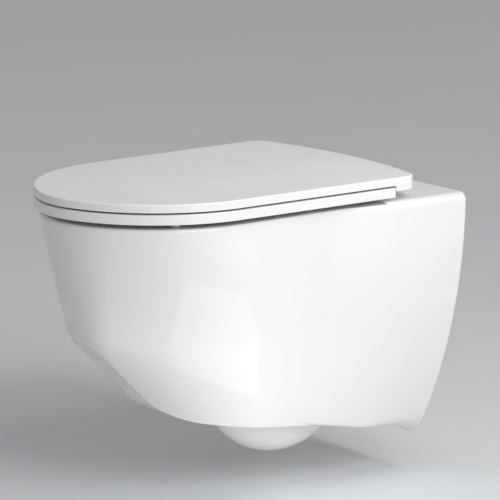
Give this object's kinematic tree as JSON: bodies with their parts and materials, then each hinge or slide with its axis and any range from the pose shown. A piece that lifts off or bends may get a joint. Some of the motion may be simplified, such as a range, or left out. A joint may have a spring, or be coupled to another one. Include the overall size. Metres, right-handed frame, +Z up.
{
  "type": "wall hung toilet",
  "caption": "Wall hung toilet: hollow ceramic pan with a folded chin and a visible trap bend, slim soft-close seat and lid, and concealed wall fixings.",
  "frame": {"origin": "on the wall, midway between the two wall fixings", "axes": "+Y into the wall, +Z up, +X to the right seen from the front of the pan"},
  "size_m": [0.356, 0.537, 0.3896],
  "materials": {
    "ceramic": "glossy white glaze",
    "seat_plastic": "satin white",
    "damper_plastic": "grey",
    "bush_plastic": "natural",
    "hinge_metal": "satin chrome",
    "steel": "plain",
    "rubber": "matt",
    "bumper_rubber": "translucent white",
    "zinc": "zinc plated"
  },
  "bodies": {
    "pan_body": {"pan": "ceramic", "hinge_post_left": "hinge_metal", "hinge_post_right": "hinge_metal", "hinge_pin_left": "steel", "hinge_pin_right": "steel", "hinge_gasket_left": "rubber", "hinge_gasket_right": "rubber", "hinge_bolt_left": "steel", "hinge_bolt_right": "steel", "hinge_sleeve_left": "rubber", "hinge_sleeve_right": "rubber", "hinge_nut_left": "damper_plastic", "hinge_nut_right": "damper_plastic", "fixing_sleeve_left": "bush_plastic", "fixing_sleeve_right": "bush_plastic", "fixing_barrel_left": "zinc", "fixing_barrel_right": "zinc", "clamp_insert_left": "bush_plastic", "clamp_insert_right": "bush_plastic", "clamp_screw_left": "steel", "clamp_screw_right": "steel"},
    "seat_body": {"seat_ring": "seat_plastic", "seat_damper_right": "damper_plastic", "seat_bush_left": "bush_plastic", "seat_bumper_front_left": "bumper_rubber", "seat_bumper_front_right": "bumper_rubber", "seat_bumper_rear_left": "bumper_rubber", "seat_bumper_rear_right": "bumper_rubber"},
    "lid_body": {"lid": "seat_plastic", "lid_damper_left": "damper_plastic", "lid_bush_right": "bush_plastic", "lid_bumper_front_left": "bumper_rubber", "lid_bumper_front_right": "bumper_rubber", "lid_bumper_rear_left": "bumper_rubber", "lid_bumper_rear_right": "bumper_rubber"}
  },
  "joints": [
    {"name": "seat_hinge", "type": "hinge", "parent": "pan_body", "child": "seat_body", "pos_m": [0, -0.072, 0.1], "axis": [-1, 0, 0], "range_deg": [0, 91]},
    {"name": "lid_hinge", "type": "hinge", "parent": "seat_body", "child": "lid_body", "pos_m": [0, -0.072, 0.1], "axis": [-1, 0, 0], "range_deg": [0, 94]}
  ]
}
